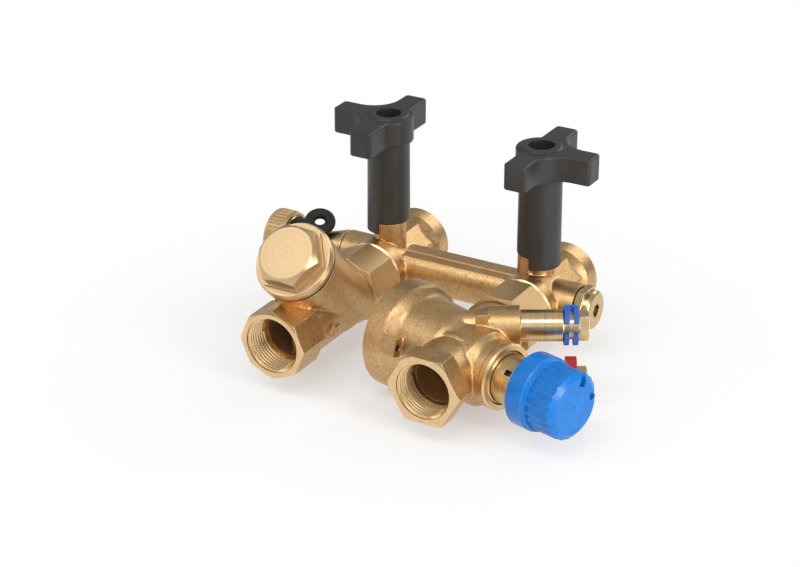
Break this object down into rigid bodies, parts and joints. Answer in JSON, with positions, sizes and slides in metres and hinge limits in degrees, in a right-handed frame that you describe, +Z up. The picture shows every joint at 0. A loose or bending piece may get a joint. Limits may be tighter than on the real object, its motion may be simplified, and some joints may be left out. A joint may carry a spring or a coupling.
{
  "type": "pressure independent control valve",
  "caption": "Brass connection set with a pressure independent control valve, Y-strainer, bypass body, ball valves with T-handles, test plugs, vent plug and capped drain.",
  "frame": {"origin": "centre of the control line's rear pipe socket mouth", "axes": "+Y out of the rear pipe sockets, +X along the bypass bar from the strainer line to the control line, +Z up along the ball valve stems"},
  "size_m": [0.2109, 0.1399, 0.1014],
  "materials": {
    "cast_brass": "satin, as cast",
    "machined_brass": "turned",
    "black_plastic": "fine grain",
    "blue_plastic": "satin",
    "blue_strap": "satin",
    "red_strap": "satin",
    "white_plastic": "satin",
    "rubber": "matt",
    "steel": "drawn",
    "chrome": "polished"
  },
  "bodies": {
    "set": {"bypass_body": "cast_brass", "strainer_body": "cast_brass", "valve_body": "cast_brass", "strainer_plug": "machined_brass", "drain_body": "machined_brass", "vent_plug": "machined_brass", "bonnet": "machined_brass", "spindle_guide": "machined_brass", "spindle_spring": "steel", "cartridge": "black_plastic", "bell_cover": "machined_brass", "diaphragm": "rubber", "regulator_spring": "steel", "strainer_basket": "steel", "strainer_plug_seal": "rubber", "bonnet_seal": "rubber", "vent_plug_seal": "rubber", "drain_body_seal": "rubber", "drain_strap": "rubber", "blue_test_strap": "blue_strap", "red_test_strap": "red_strap", "left_front_seat": "white_plastic", "left_rear_seat": "white_plastic", "left_seat_retainer": "machined_brass", "left_gland_nut": "machined_brass", "left_union_nut": "machined_brass", "left_union_gasket": "rubber", "left_snap_ring": "steel", "right_front_seat": "white_plastic", "right_rear_seat": "white_plastic", "right_seat_retainer": "machined_brass", "right_gland_nut": "machined_brass", "right_union_nut": "machined_brass", "right_union_gasket": "rubber", "right_snap_ring": "steel", "blue_test_plug": "machined_brass", "blue_test_core": "rubber", "blue_test_cap": "machined_brass", "red_test_plug": "machined_brass", "red_test_core": "rubber", "red_test_cap": "machined_brass"},
    "left_ball_valve": {"left_handle": "black_plastic", "left_handle_screw": "steel", "left_stem": "machined_brass", "left_stem_seal": "rubber", "left_ball": "chrome"},
    "right_ball_valve": {"right_handle": "black_plastic", "right_handle_screw": "steel", "right_stem": "machined_brass", "right_stem_seal": "rubber", "right_ball": "chrome"},
    "spindle": {"spindle": "steel"},
    "control_cap": {"control_cap": "blue_plastic"},
    "setting_ring": {"setting_ring": "black_plastic"},
    "regulator": {"diaphragm_clamp": "machined_brass", "diaphragm_plate": "machined_brass", "regulator_sleeve": "machined_brass"},
    "drain_seal": {"drain_cap_seal": "rubber"},
    "drain_cap": {"drain_cap": "machined_brass"}
  },
  "joints": [
    {"name": "left_handle_turn", "type": "hinge", "parent": "set", "child": "left_ball_valve", "pos_m": [-0.08, -0.0305, 0.06], "axis": [0, 0, -1], "range_deg": [0, 90]},
    {"name": "right_handle_turn", "type": "hinge", "parent": "set", "child": "right_ball_valve", "pos_m": [0, -0.0305, 0.06], "axis": [0, 0, 1], "range_deg": [0, 90]},
    {"name": "spindle_stroke", "type": "slide", "parent": "set", "child": "spindle", "axis": [-0.9659, 0.2588, 0], "range_m": [0, 0.00302], "deforming": ["spindle_spring"]},
    {"name": "control_cap_turn", "type": "hinge", "parent": "spindle", "child": "control_cap", "pos_m": [0.05313, -0.11754, 0], "axis": [-0.9659, 0.2588, 0], "range_deg": [0, 720]},
    {"name": "setting_ring_turn", "type": "hinge", "parent": "set", "child": "setting_ring", "pos_m": [0.02898, -0.11106, 0], "axis": [0.9659, -0.2588, 0], "range_deg": [0, 300]},
    {"name": "regulator_stroke", "type": "slide", "parent": "set", "child": "regulator", "axis": [0.9659, -0.2588, 0], "range_m": [0, 0.0025], "stiffness_N_per_m": 1500, "deforming": ["diaphragm", "regulator_spring"]},
    {"name": "drain_cap_rise", "type": "slide", "parent": "set", "child": "drain_seal", "axis": [-1, 0, 0], "range_m": [0, 0.00365]},
    {"name": "drain_cap_turn", "type": "hinge", "parent": "drain_seal", "child": "drain_cap", "pos_m": [-0.14, -0.0305, 0], "axis": [-1, 0, 0], "range_deg": [0, 720]}
  ],
  "couplings": [
    {"joint": "spindle_stroke", "follows": "control_cap_turn", "m_per_rad": 0.00023873},
    {"joint": "drain_cap_rise", "follows": "drain_cap_turn", "m_per_rad": 0.00028871}
  ]
}
